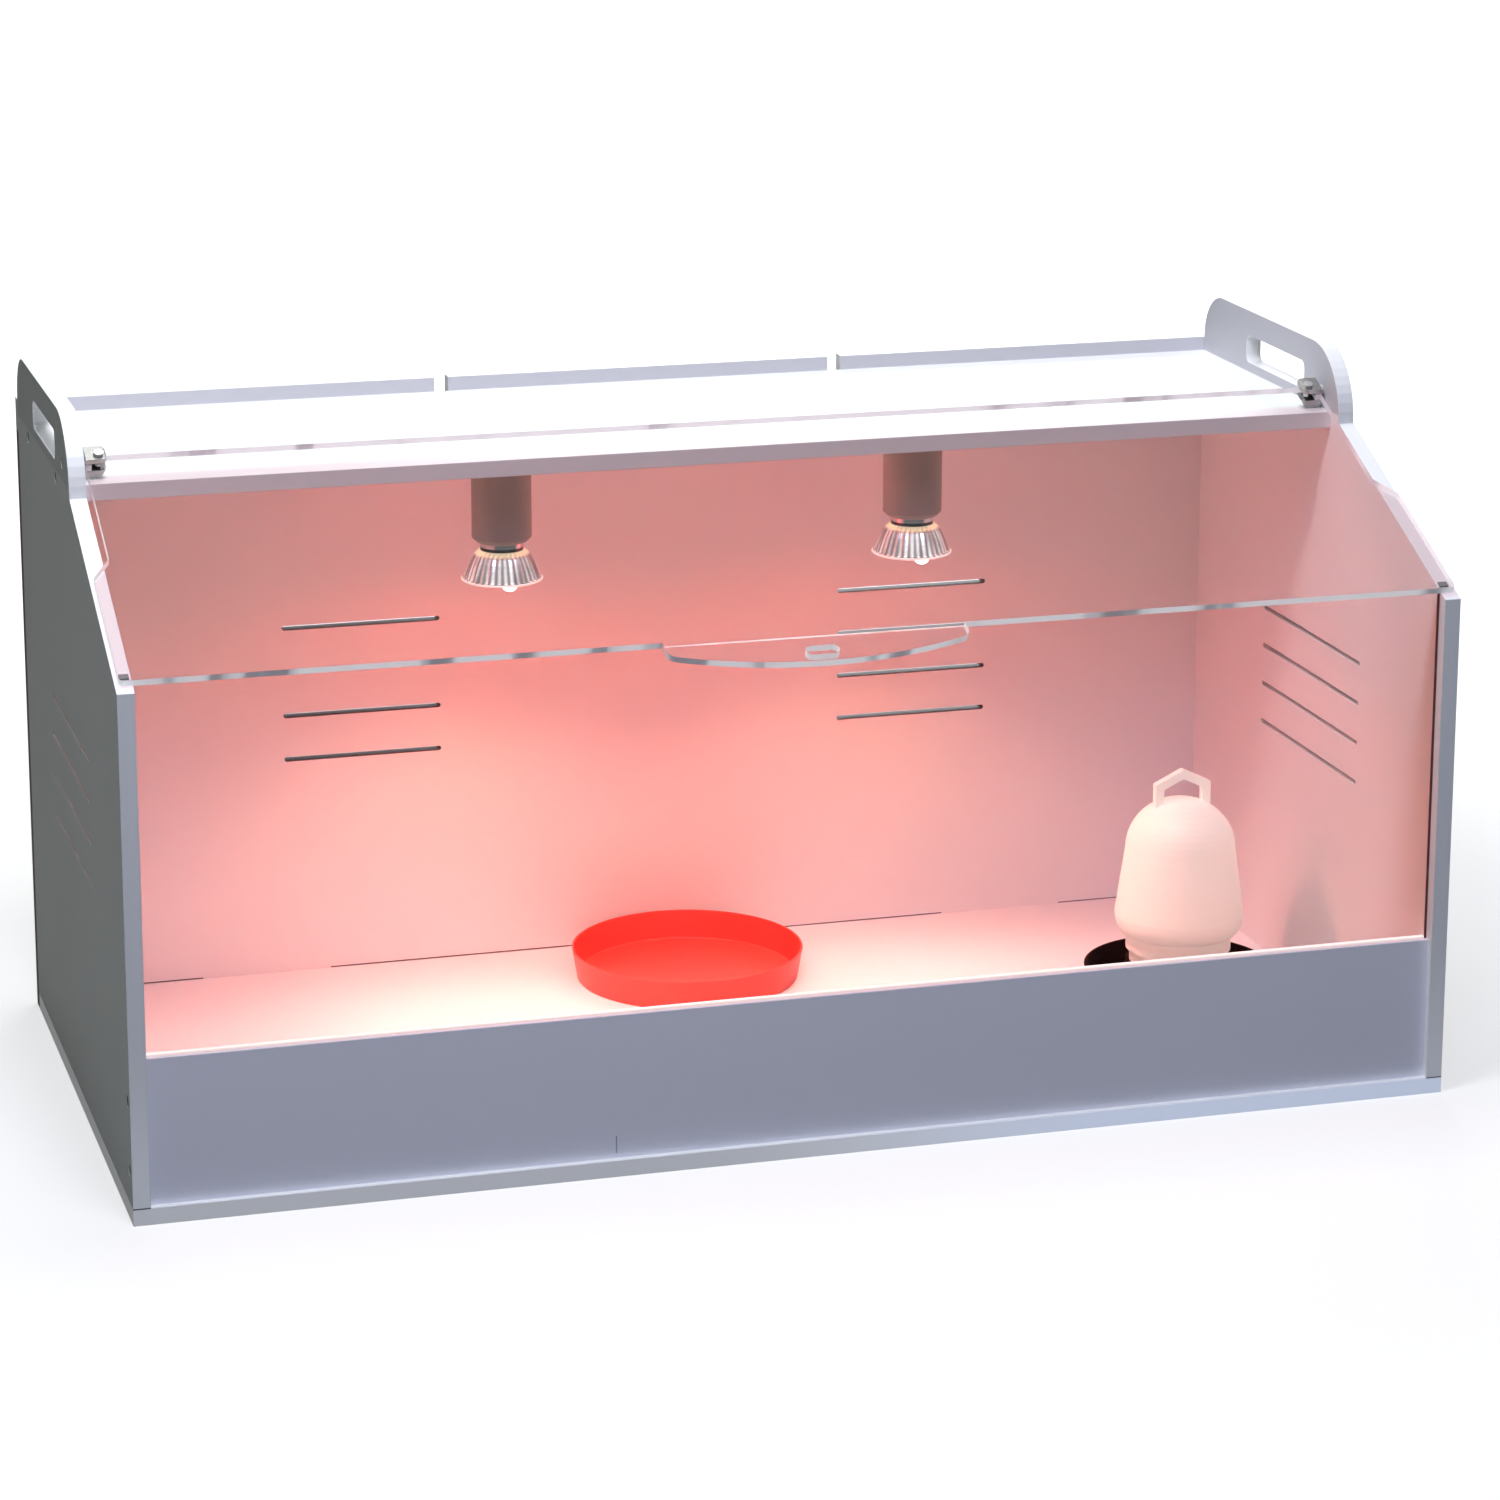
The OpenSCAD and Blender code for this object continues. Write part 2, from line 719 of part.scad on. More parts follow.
module hinge_pin() {
    color(steel) placed() translate([box_w / 2 - screw_sink, hinge_y, hinge_z]) rotate([0, 90, 0])
        sunk_screw(pin_d, pin_head_d, panel_t - screw_sink + clamp_gap + pin_reach);
}

module left_hinge_pin() {
    handed(-1) hinge_pin();
}

module right_hinge_pin() {
    hinge_pin();
}

module hinge_washers() {
    color("white") placed() for (s = [-1, 1]) handed(s)
        translate([inner_x - clamp_gap + lid_fit, hinge_y, hinge_z]) rotate([0, 90, 0]) difference() {
            cylinder(h = clamp_gap - lid_fit, d = washer_d);
            translate([0, 0, -over]) cylinder(h = clamp_gap + 2 * over, d = pin_d + 2 * pin_fit);
        }
}

module side_screws() {
    color(steel) placed() for (side = [-1, 1]) handed(side) side_screw_sites() panel_screw();
}

module back_screws() {
    color(steel) placed() back_screw_sites() panel_screw();
}

module floor_screws() {
    color(steel) placed() floor_screw_sites() panel_screw();
}

// Lamps, drawn downwards from the top panel's underside
module lampholder() {
    r = holder_d / 2;
    color([0.52, 0.46, 0.42]) difference() {
        rotate_extrude() polygon([
            [0, 0], [r, 0], [r, -holder_h + holder_bevel], [r - holder_bevel, -holder_h],
            [holder_bore_r, -holder_h], [holder_bore_r, -holder_base_t], [0, -holder_base_t]
        ]);
        holder_screw_sites() holder_screw_hole();
        translate([0, 0, -holder_base_t / 2]) rotate([-90, 0, 0]) cylinder(h = holder_d, d = cable_entry_d);
    }
}

module left_lampholder() {
    at_lamp(-1) lampholder();
}

module right_lampholder() {
    at_lamp(1) lampholder();
}

// Fixing screws inside the lampholder, heads towards the bulb
module holder_screw_sites() {
    for (s = [-1, 1])
        translate([s * holder_screw_pitch / 2, 0, -holder_base_t]) rotate([180, 0, 0]) children();
}

module holder_screw_hole() {
    translate([0, 0, -holder_screw_l - pin_fit])
        cylinder(h = holder_screw_l + over, d = holder_screw_d + 2 * pin_fit);
}

module holder_screws() {
    color(steel) for (side = [-1, 1]) at_lamp(side) holder_screw_sites() {
        cylinder(h = holder_head_h, d = holder_head_d);
        translate([0, 0, -holder_screw_l]) cylinder(h = holder_screw_l, d = holder_screw_d);
    }
}

module holder_shell() {
    r = holder_bore_r - pin_fit;
    low = -holder_h + holder_bevel;
    color("goldenrod") translate([0, 0, low]) difference() {
        cylinder(h = shell_l, r = r);
        translate([0, 0, -over]) cylinder(h = shell_l + 2 * over, r = r - shell_t);
    }
}

module left_holder_shell() {
    at_lamp(-1) holder_shell();
}

module right_holder_shell() {
    at_lamp(1) holder_shell();
}

// Centre contact: a foot on the lampholder's base and the tongue that meets the bulb
module holder_contact() {
    foot_d = holder_screw_pitch - holder_head_d - 2 * cap_fit;
    color("goldenrod") translate([0, 0, cap_tip_z]) {
        cylinder(h = contact_h, d = foot_d / 2);
        translate([0, 0, contact_h / 2]) cylinder(h = contact_h / 2, d = foot_d);
    }
}

module left_holder_contact() {
    at_lamp(-1) holder_contact();
}

module right_holder_contact() {
    at_lamp(1) holder_contact();
}

module bulb_cap() {
    r = cap_d / 2;
    tip_share = 0.33;
    cone_share = 0.8;
    color("silver") rotate_extrude() polygon([
        [0, cap_tip_z], [r * tip_share, cap_tip_z], [r * tip_share, cap_tip_z - contact_h * tip_share],
        [r * cone_share, cap_tip_z - contact_h], [r, cap_tip_z - contact_h / cone_share],
        [r, collar_z], [0, collar_z]
    ]);
}

module left_bulb_cap() {
    at_lamp(-1) bulb_cap();
}

module right_bulb_cap() {
    at_lamp(1) bulb_cap();
}

module bulb_collar() {
    color("gold") translate([0, 0, reflector_z]) cylinder(h = collar_h, d = neck_d - reflector_t);
}

module left_bulb_collar() {
    at_lamp(-1) bulb_collar();
}

module right_bulb_collar() {
    at_lamp(1) bulb_collar();
}

// Reflector: a bell with upright ribs outside, smooth inside, and a rim that holds the lens
bell_steps = 5;
bell_share = 0.65;
lens_r = rim_d / 2 - reflector_t;
ledge_z = reflector_h + rim_h / 2;
function bell_r(share) = neck_d / 2 + (mouth_d - neck_d) / 2 * pow(share, bell_share);

// Rings of the reflector as [radius, height below the neck, rib height], down the outside and up the inside
function reflector_rings() = concat(
    [for (k = [0 : bell_steps]) [bell_r(k / bell_steps), reflector_h * k / bell_steps, k == 0 ? 0 : rib_h]],
    [[rim_d / 2, reflector_h, 0], [rim_d / 2, reflector_h + rim_h, 0]],
    [[lens_r, reflector_h + rim_h, 0], [lens_r, ledge_z, 0]],
    [for (k = [bell_steps : -1 : 0]) [bell_r(k / bell_steps) - reflector_t, ledge_z * k / bell_steps, 0]]
);

module bulb_reflector() {
    rings = reflector_rings();
    n = len(rings);
    m = 2 * rib_count;
    points = [for (g = rings, k = [0 : m - 1])
        let (r = g[0] + (k % 2) * g[2]) [r * cos(360 * k / m), r * sin(360 * k / m), -g[1]]];
    faces = [for (i = [0 : n - 1], k = [0 : m - 1])
        let (row = i * m, next = (i + 1) % n * m, j = (k + 1) % m)
        each [[row + k, row + j, next + k], [row + j, next + j, next + k]]];
    color([0.85, 0.85, 0.88]) translate([0, 0, reflector_z]) polyhedron(points, faces);
}

module left_bulb_reflector() {
    at_lamp(-1) bulb_reflector();
}

module right_bulb_reflector() {
    at_lamp(1) bulb_reflector();
}

// Lens: a disc against the ledge in the rim, domed below
module bulb_lens() {
    r = lens_r * cos(180 / (2 * rib_count)) - pin_fit;
    dome_r = (r * r + lens_dome * lens_dome) / (2 * lens_dome);
    low = reflector_h + rim_h;
    reach = asin(r / dome_r);
    color([1, 0.95, 0.85]) translate([0, 0, reflector_z]) rotate_extrude() polygon(concat(
        [[0, -ledge_z - pin_fit], [r, -ledge_z - pin_fit]],
        arc([0, -low - lens_dome + dome_r], dome_r, reach - 90, -reach)
    ));
}

module left_bulb_lens() {
    at_lamp(-1) bulb_lens();
}

module right_bulb_lens() {
    at_lamp(1) bulb_lens();
}

module bulb_capsule() {
    r = capsule_d / 2;
    capsule_share = 0.7;
    stem = reflector_h * capsule_share - r;
    color([1, 0.95, 0.8]) translate([0, 0, reflector_z]) rotate_extrude()
        polygon(concat([[0, 0], [r, 0]], arc([0, -stem], r, 0, -90)));
}

module left_bulb_capsule() {
    at_lamp(-1) bulb_capsule();
}

module right_bulb_capsule() {
    at_lamp(1) bulb_capsule();
}

// Feed tray: a shallow flared dish
module feed_tray() {
    lip = tray_t / 3;
    color("red") at_tray() rotate_extrude() polygon(rounded([
        [0, 0, 0],
        [tray_base_d / 2, 0, tray_t],
        [tray_rim_r, tray_h, lip],
        [tray_rim_r - tray_t, tray_h, lip],
        [tray_base_d / 2 - tray_t, tray_t, tray_t],
        [0, tray_t, 0]
    ]));
}

// Drinker base: a round trough with a socket for the jar, water gaps under it and bayonet slots in it
module drinker_base() {
    lip = dish_t / 3;
    socket_out = socket_r + dish_t;
    slot_h = lug_h + 2 * jar_fit;
    entry_w = 2 * socket_out * sin(lug_deg);
    color([0.06, 0.05, 0.05]) at_drinker() difference() {
        rotate_extrude() polygon(rounded([
            [0, 0, 0],
            [dish_foot_d / 2, 0, dish_t],
            [dish_rim_r, dish_h, lip],
            [dish_rim_r - dish_t, dish_h, lip],
            [dish_foot_d / 2 - dish_t, dish_t, dish_t],
            [socket_out, dish_t, 0],
            [socket_out, socket_h, 0],
            [socket_r, socket_h, 0],
            [socket_r, seat_h, 0],
            [socket_r - dish_t, seat_h, 0],
            [socket_r - dish_t, dish_t, 0],
            [0, dish_t, 0]
        ]));
        for (k = [0 : water_gap_count - 1]) rotate(360 * k / water_gap_count + 90)
            translate([socket_r - 2 * dish_t, -water_gap_w / 2, dish_t])
                cube([3 * dish_t + over, water_gap_w, seat_h - 2 * dish_t]);
        for (k = [0 : lug_count - 1]) rotate(lug_turn + 360 * k / lug_count) {
            rotate(-lug_deg) rotate_extrude(angle = twist_deg + lug_deg)
                translate([socket_r - over, lug_z - jar_fit]) square([dish_t + 2 * over, slot_h]);
            rotate(twist_deg) translate([socket_r - 2 * over, -entry_w / 2, lug_z - jar_fit / 2])
                cube([dish_t + 4 * over, entry_w, socket_h]);
        }
    }
}

// Jar: outline of its wall, drawn inwards by the given distance, from the neck to the top
function jar_side(inset, neck_z) = let (
    heel_z = jar_collar_z + jar_collar_h + jar_heel_h,
    shoulder_z = heel_z + jar_wall_h,
    heel_r = jar_d / 2 - jar_collar_d / 2
) concat(
    [[jar_neck_d / 2 - inset, neck_z]],
    inset > 0 ? [] : [
        [jar_neck_d / 2, jar_collar_z], [jar_collar_d / 2, jar_collar_z],
        [jar_collar_d / 2, jar_collar_z + jar_collar_h - jar_t]
    ],
    oval([jar_collar_d / 2 - inset, heel_z], heel_r, jar_heel_h - inset, -90, 90),
    oval([0, shoulder_z], jar_shoulder_d / 2 - inset, jar_dome_h - inset, 0, 90)
);

// Outline of the jar's handle: two legs on the dome and a ridged bar over them
module handle_outline(half, foot_z, shoulder_z, ridge_z) {
    polygon([[-half, foot_z], [half, foot_z], [half, shoulder_z], [0, ridge_z], [-half, shoulder_z]]);
}

module jar_handle() {
    ridge = jar_top_z + jar_handle_h;
    shoulder = ridge - jar_ridge_h;
    half = jar_handle_w / 2;
    pitch = atan2(jar_ridge_h, half);
    bar_h = jar_handle_t / cos(pitch);
    inner_shoulder = shoulder + jar_handle_t * tan(pitch) - bar_h;
    rotate([90, 0, 0]) linear_extrude(jar_handle_t, center = true) difference() {
        handle_outline(half, jar_top_z - jar_dome_h / 2, shoulder, ridge);
        handle_outline(half - jar_handle_t, jar_top_z - jar_dome_h, inner_shoulder, ridge - bar_h);
    }
}

module drinker_jar() {
    color(ivory) at_drinker() difference() {
        union() {
            rotate_extrude() polygon(concat([[0, seat_h]], jar_side(0, seat_h)));
            jar_handle();
            for (k = [0 : lug_count - 1]) rotate(lug_turn + 360 * k / lug_count - lug_deg / 2)
                rotate_extrude(angle = lug_deg) translate([jar_neck_d / 2 - jar_t / 2, lug_z])
                    square([jar_t / 2 + dish_t, lug_h]);
        }
        rotate_extrude() polygon(concat([[0, seat_h - over]], jar_side(jar_t, seat_h - over)));
    }
}

floor_panel();
left_side_panel();
right_side_panel();
back_panel();
top_panel();
front_panel();
front_window();
lid_panel();
left_hinge_clamp();
right_hinge_clamp();
left_hinge_pin();
right_hinge_pin();
hinge_washers();
clamp_pads();
clamp_screws();
lid_bumpers();
side_screws();
back_screws();
floor_screws();
left_lampholder();
right_lampholder();
left_holder_shell();
right_holder_shell();
left_holder_contact();
right_holder_contact();
holder_screws();
left_bulb_cap();
right_bulb_cap();
left_bulb_collar();
right_bulb_collar();
left_bulb_reflector();
right_bulb_reflector();
left_bulb_lens();
right_bulb_lens();
left_bulb_capsule();
right_bulb_capsule();
feed_tray();
drinker_base();
drinker_jar();
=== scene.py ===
"""Looks of the chick brooder box: materials, small details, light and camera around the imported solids."""
import json
import math

import bmesh
import bpy
from mathutils import Matrix, Vector


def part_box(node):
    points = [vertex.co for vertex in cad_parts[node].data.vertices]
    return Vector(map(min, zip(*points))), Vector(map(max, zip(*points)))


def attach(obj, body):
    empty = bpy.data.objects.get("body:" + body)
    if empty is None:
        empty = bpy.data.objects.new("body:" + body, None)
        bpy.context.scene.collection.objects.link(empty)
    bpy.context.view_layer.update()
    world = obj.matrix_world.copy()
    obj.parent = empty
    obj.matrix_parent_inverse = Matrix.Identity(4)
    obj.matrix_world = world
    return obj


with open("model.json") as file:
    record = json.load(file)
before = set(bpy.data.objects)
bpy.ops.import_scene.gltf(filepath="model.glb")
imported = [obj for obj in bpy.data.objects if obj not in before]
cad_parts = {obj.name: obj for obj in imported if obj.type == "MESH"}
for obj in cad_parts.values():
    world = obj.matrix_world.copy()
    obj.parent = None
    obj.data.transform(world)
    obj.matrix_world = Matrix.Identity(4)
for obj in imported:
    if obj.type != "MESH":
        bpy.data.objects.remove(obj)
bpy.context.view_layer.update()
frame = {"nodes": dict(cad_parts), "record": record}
NODES = frame["nodes"]
SIDES = ("left", "right")
MM = 0.001

# Surfaces: change of gloss, coarseness of the tone against the grain, octaves of noise, bevel rays, how far
# a face may lean and still count as a sheet's broad side, and relief and rounded edges of metal
GLOSS_CHANGE = 0.06
TONE_COARSE = 20
NOISE_DETAIL = 4.0
BEVEL_SAMPLES = 4
BROAD_SIDE = 0.7
METAL_RELIEF = 0.02 * MM
METAL_EDGE = 0.3 * MM

# Panels: the two ends of their tone, and (broad side, painted shade above the top panel) of the ones that
# rise past it
PANEL_TONES = ((0.86, 0.87, 0.88), (0.91, 0.92, 0.93))
RIM_TONES = {
    "back_panel": ((0, 1, 0), (0.58, 0.57, 0.61)),
    "left_side_panel": ((1, 0, 0), (0.72, 0.74, 0.74)),
    "right_side_panel": ((1, 0, 0), (0.54, 0.54, 0.58)),
}
FLOOR_FACE = (0, 0, 1)
# Painted shade on the cut faces of the back panel's slots
SLOT_SHADE = (0.16, 0.09, 0.09)

# Painted light, a glow on sawn edges: along the floor's edge, at the foot of the sides, in the window's
# groove
RIM_LIFT = (0.12, 0.38)
RIM_SPAN = (-0.1, 0.2)
RIM_LEFT = (0.97, 0.98, 1)
RIM_RIGHT = (0.63, 0.74, 1)
FOOT_TALL = 0.12
FOOT_LIFT = 0.1
FOOT_TONE = (0.85, 0.9, 1)
GROOVE_LIFT = 0.8
GROOVE_TONE = (1, 0.88, 0.86)

# Marks: thickness and width of a line, the front panel's kerf, the window's slit, and where the line between
# floor and back stops and starts again beside the floor's tabs; the lines at the joints and the slit are
# painted shade
MARK_T = 0.05 * MM
SEAM_W = 0.7 * MM
KERF_X = -118.5 * MM
KERF_LOW = 3 * MM
KERF_HIGH = 13.5 * MM
SLIT_W = 1.6 * MM
JOINT_BREAKS = (0.21, 0.294)

# Clear sheets: directions of their broad sides
SLOPE = math.radians(24)
LID_FACE = (0, -math.sin(SLOPE), math.cos(SLOPE))
WINDOW_FACE = (0, 1, 0)

# Bulbs: hot middle of the lens, painted reflections (streaks and glow) of the bell and painted highlight
# (glow) of its gold neck, glass rim, hot bead, share of each lamp's light
LENS_HOT_R = 7 * MM
BELL_STREAKS = 36
BELL_GLOW = 0.8
NECK_GLOW = 0.35
LATHE_STEPS = 48
WELD = 0.001 * MM
RIM_OUT = 0.1 * MM
RIM_T = 0.7 * MM
RIM_STEPS = 8
DOME_R = 4.5 * MM
DOME_H = 3.4 * MM
DOME_STEPS = 6
LAMP_SHARE = {"left": 1.1, "right": 0.86}
LAMP_BELOW = 2 * MM
LAMP_R = 8 * MM
SPILL_R = 20 * MM
SPILL_DROP = 28 * MM

# Ground: its own light near the object, and full white from GROUND_FAR on
GROUND_SIZE = 30
GROUND_NEAR = 0.5
GROUND_FAR = 1.5
GROUND_LIFT = 0.6

# Camera, fitted to the photograph's panel corners, for an image of 1500 by 1500 pixels
CAMERA_PLACE = Vector((-745.2, -2612.7, 965.2)) * MM
CAMERA_YAW = 16.299
CAMERA_PITCH = 13.988
CAMERA_ROLL = -0.141
CAMERA_LENS = 109.84
CAMERA_SENSOR = 36
CAMERA_SHIFT_Y = -0.1
CAMERA_END = 100


def link_new(name, data):
    """A new object in the scene."""
    thing = bpy.data.objects.new(name, data)
    bpy.context.scene.collection.objects.link(thing)
    return thing


def make_camera():
    yaw, pitch, roll = (math.radians(a) for a in (CAMERA_YAW, CAMERA_PITCH, CAMERA_ROLL))
    ahead = Vector((math.sin(yaw) * math.cos(pitch), math.cos(yaw) * math.cos(pitch), -math.sin(pitch)))
    level = Vector((math.cos(yaw), -math.sin(yaw), 0))
    down = ahead.cross(level)
    right = math.cos(roll) * level + math.sin(roll) * down
    low = -math.sin(roll) * level + math.cos(roll) * down
    data = bpy.data.cameras.new("camera")
    data.sensor_width = CAMERA_SENSOR
    data.lens = CAMERA_LENS
    data.shift_y = CAMERA_SHIFT_Y
    data.clip_end = CAMERA_END
    camera = link_new("camera", data)
    turn = Matrix((right, -low, -ahead)).transposed().to_4x4()
    camera.matrix_world = Matrix.Translation(CAMERA_PLACE) @ turn
    bpy.context.scene.camera = camera


# Materials
def new_material(name):
    """A material with one Principled shader, as (material, node tree, shader)."""
    material = bpy.data.materials.new(name)
    material.use_nodes = True
    tree = material.node_tree
    return material, tree, tree.nodes["Principled BSDF"]


def add_node(tree, kind, **values):
    """A node of that kind with some of its inputs or properties set."""
    node = tree.nodes.new(kind)
    for key, value in values.items():
        if key in node.inputs:
            node.inputs[key].default_value = value
        else:
            setattr(node, key, value)
    return node


def cut_edge(tree, face):
    """One on faces that look away from the sheet's broad sides, whose direction is face."""
    place = add_node(tree, "ShaderNodeTexCoord")
    dot = add_node(tree, "ShaderNodeVectorMath", operation="DOT_PRODUCT")
    dot.inputs[1].default_value = face
    size = add_node(tree, "ShaderNodeMath", operation="ABSOLUTE")
    edge = add_node(tree, "ShaderNodeMath", operation="LESS_THAN")
    edge.inputs[1].default_value = BROAD_SIDE
    tree.links.new(place.outputs["Normal"], dot.inputs[0])
    tree.links.new(dot.outputs["Value"], size.inputs[0])
    tree.links.new(size.outputs["Value"], edge.inputs[0])
    return edge.outputs["Value"]


def span(tree, value, start, end, low=0.0, high=1.0):
    """A smooth change from low to high while the value goes from start to end."""
    change = add_node(tree, "ShaderNodeMapRange", interpolation_type="SMOOTHSTEP")
    for key, number in {"From Min": start, "From Max": end, "To Min": low, "To Max": high}.items():
        change.inputs[key].default_value = number
    tree.links.new(value, change.inputs["Value"])
    return change.outputs["Result"]


def product(tree, first, second):
    times = add_node(tree, "ShaderNodeMath", operation="MULTIPLY")
    tree.links.new(first, times.inputs[0])
    tree.links.new(second, times.inputs[1])
    return times.outputs["Value"]


def mixed(tree, factor, first, second):
    mix = add_node(tree, "ShaderNodeMixShader")
    tree.links.new(factor, mix.inputs["Fac"])
    tree.links.new(first, mix.inputs[1])
    tree.links.new(second, mix.inputs[2])
    return mix.outputs["Shader"]


def from_middle(tree, node):
    """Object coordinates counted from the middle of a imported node's box, and the box's height."""
    low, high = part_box(node)
    place = add_node(tree, "ShaderNodeTexCoord")
    about = add_node(tree, "ShaderNodeVectorMath", operation="SUBTRACT")
    about.inputs[1].default_value = (low + high) / 2
    tree.links.new(place.outputs["Object"], about.inputs[0])
    return about.outputs["Vector"], high.z - low.z


def height_of(tree, vector):
    parts = add_node(tree, "ShaderNodeSeparateXYZ")
    tree.links.new(vector, parts.inputs["Vector"])
    return parts.outputs["Z"]


def axes_of(tree):
    """The object's own X, Y and Z, as outputs of a node."""
    place = add_node(tree, "ShaderNodeTexCoord")
    axes = add_node(tree, "ShaderNodeSeparateXYZ")
    tree.links.new(place.outputs["Object"], axes.inputs["Vector"])
    return axes.outputs


def either_of(tree, first, second):
    """One for rays of either kind."""
    path = add_node(tree, "ShaderNodeLightPath")
    either = add_node(tree, "ShaderNodeMath", operation="MAXIMUM")
    tree.links.new(path.outputs[first], either.inputs[0])
    tree.links.new(path.outputs[second], either.inputs[1])
    return either.outputs["Value"]


def straight_rays(tree):
    """One for rays from the camera and through glass."""
    return either_of(tree, "Is Camera Ray", "Is Transmission Ray")


def noise(tree, scale, stretch=(1, 1, 1)):
    """Noise over object space, with one axis drawn out by a stretch below 1."""
    place = add_node(tree, "ShaderNodeTexCoord")
    mapping = add_node(tree, "ShaderNodeMapping", Scale=stretch)
    texture = add_node(tree, "ShaderNodeTexNoise", Scale=scale, Detail=NOISE_DETAIL)
    tree.links.new(place.outputs["Object"], mapping.inputs["Vector"])
    tree.links.new(mapping.outputs["Vector"], texture.inputs["Vector"])
    return texture.outputs["Fac"]


def vary_colour(tree, shader, factor, low, high):
    mix = add_node(tree, "ShaderNodeMix", data_type="RGBA")
    mix.inputs["A"].default_value = (*low, 1)
    mix.inputs["B"].default_value = (*high, 1)
    tree.links.new(factor, mix.inputs["Factor"])
    tree.links.new(mix.outputs["Result"], shader.inputs["Base Color"])


def vary_roughness(tree, shader, factor, low, high):
    change = add_node(tree, "ShaderNodeMapRange")
    change.inputs["To Min"].default_value = low
    change.inputs["To Max"].default_value = high
    tree.links.new(factor, change.inputs["Value"])
    tree.links.new(change.outputs["Result"], shader.inputs["Roughness"])


def add_bump(tree, shader, factor, depth, edge):
    """Relief of that depth in metres, over edges rounded by the given radius."""
    bump = add_node(tree, "ShaderNodeBump", Strength=1.0, Distance=depth)
    tree.links.new(factor, bump.inputs["Height"])
    bevel = add_node(tree, "ShaderNodeBevel", Radius=edge, samples=BEVEL_SAMPLES)
    tree.links.new(bevel.outputs["Normal"], bump.inputs["Normal"])
    tree.links.new(bump.outputs["Normal"], shader.inputs["Normal"])


def plastic(name, low, high, rough, grain, depth, stretch=(1, 1, 1), edge=0.0004, shine=0.5):
    """Sheet or moulded plastic: a slight change of tone, of gloss and of level over the surface."""
    material, tree, shader = new_material(name)
    shader.inputs["Specular IOR Level"].default_value = shine
    tone = noise(tree, grain / TONE_COARSE, stretch)
    fine = noise(tree, grain, stretch)
    vary_colour(tree, shader, tone, low, high)
    vary_roughness(tree, shader, fine, rough - GLOSS_CHANGE, rough + GLOSS_CHANGE)
    add_bump(tree, shader, fine, depth, edge)
    return material


def panel(name, low, high):
    """White foam sheet, with a faint drawn grain along its length."""
    return plastic(name, low, high, 0.42, 240, 0.00004, (0.08, 1, 1), 0.0007, 0.3)


def lay_over(tree, factor, tone):
    """Another tone over a material's base colour, as far as the factor goes."""
    shader = tree.nodes["Principled BSDF"]
    mix = add_node(tree, "ShaderNodeMix", data_type="RGBA")
    mix.inputs["B"].default_value = (*tone, 1)
    tree.links.new(factor, mix.inputs["Factor"])
    tree.links.new(shader.inputs["Base Color"].links[0].from_socket, mix.inputs["A"])
    tree.links.new(mix.outputs["Result"], shader.inputs["Base Color"])


def glow_by(tree, strength, tone):
    """Emission of one tone, with a strength that changes over the surface."""
    shader = tree.nodes["Principled BSDF"]
    shader.inputs["Emission Color"].default_value = (*tone, 1)
    tree.links.new(strength, shader.inputs["Emission Strength"])


def painted_shade_above(material, level, face, grey):
    """Painted shade: a greyer tone on the broad sides of a panel above that level; its sawn edges stay white.
    """
    tree = material.node_tree
    above = span(tree, axes_of(tree)["Z"], level - MM, level + MM)
    broad = span(tree, cut_edge(tree, face), 0, 1, 1, 0)
    lay_over(tree, product(tree, above, broad), grey)
    return material


def dark_slots(material, level, face):
    """Painted shade on the cut faces of the slots in a panel, below that level."""
    tree = material.node_tree
    below = span(tree, axes_of(tree)["Z"], level - 2 * MM, level, 1, 0)
    lay_over(tree, product(tree, below, cut_edge(tree, face)), SLOT_SHADE)


def painted_rim_light(material):
    """Painted light: a glow on sawn edges for the light which the ground throws back, bluer and stronger to
    the right.
    """
    tree = material.node_tree
    along = axes_of(tree)["X"]
    lift = span(tree, along, *RIM_SPAN, *RIM_LIFT)
    glow_by(tree, product(tree, cut_edge(tree, FLOOR_FACE), lift), RIM_LEFT)
    mix = add_node(tree, "ShaderNodeMix", data_type="RGBA")
    mix.inputs["A"].default_value = (*RIM_LEFT, 1)
    mix.inputs["B"].default_value = (*RIM_RIGHT, 1)
    tree.links.new(span(tree, along, *RIM_SPAN), mix.inputs["Factor"])
    tree.links.new(mix.outputs["Result"], tree.nodes["Principled BSDF"].inputs["Emission Color"])
    return material


def painted_foot_light(material, face):
    """Painted light: a glow on the sawn edges of an upright panel near their foot, for light off the ground.
    """
    tree = material.node_tree
    foot = span(tree, axes_of(tree)["Z"], 0, FOOT_TALL, FOOT_LIFT, 0)
    glow_by(tree, product(tree, cut_edge(tree, face), foot), FOOT_TONE)


def painted_groove_light(material, front, level):
    """Painted light: a glow on the walls of the window's groove, for light through the clear sheet that
    stands in it.
    """
    tree = material.node_tree
    axes = axes_of(tree)
    behind = span(tree, axes["Y"], front - MM / 10, front + MM / 10, 0, GROOVE_LIFT)
    above = span(tree, axes["Z"], level - 3 * MM, level - 2 * MM)
    glow_by(tree, product(tree, behind, above), GROOVE_TONE)
    return material


def metal(name, low, high, rough, grain):
    material = plastic(name, low, high, rough, grain, METAL_RELIEF, edge=METAL_EDGE)
    material.node_tree.nodes["Principled BSDF"].inputs["Metallic"].default_value = 1.0
    return material


def milky(name, low, high, through, glow):
    """Thin pale plastic of the jar, with a painted warm glow for the light it lets through, more of it
    towards its top.
    """
    material = plastic(name, low, high, 0.42, 160, 0.00005)
    tree = material.node_tree
    vector, tall = from_middle(tree, "drinker_jar")
    glow_by(tree, span(tree, height_of(tree, vector), -0.5 * tall, 0.2 * tall, *glow), through)
    return material


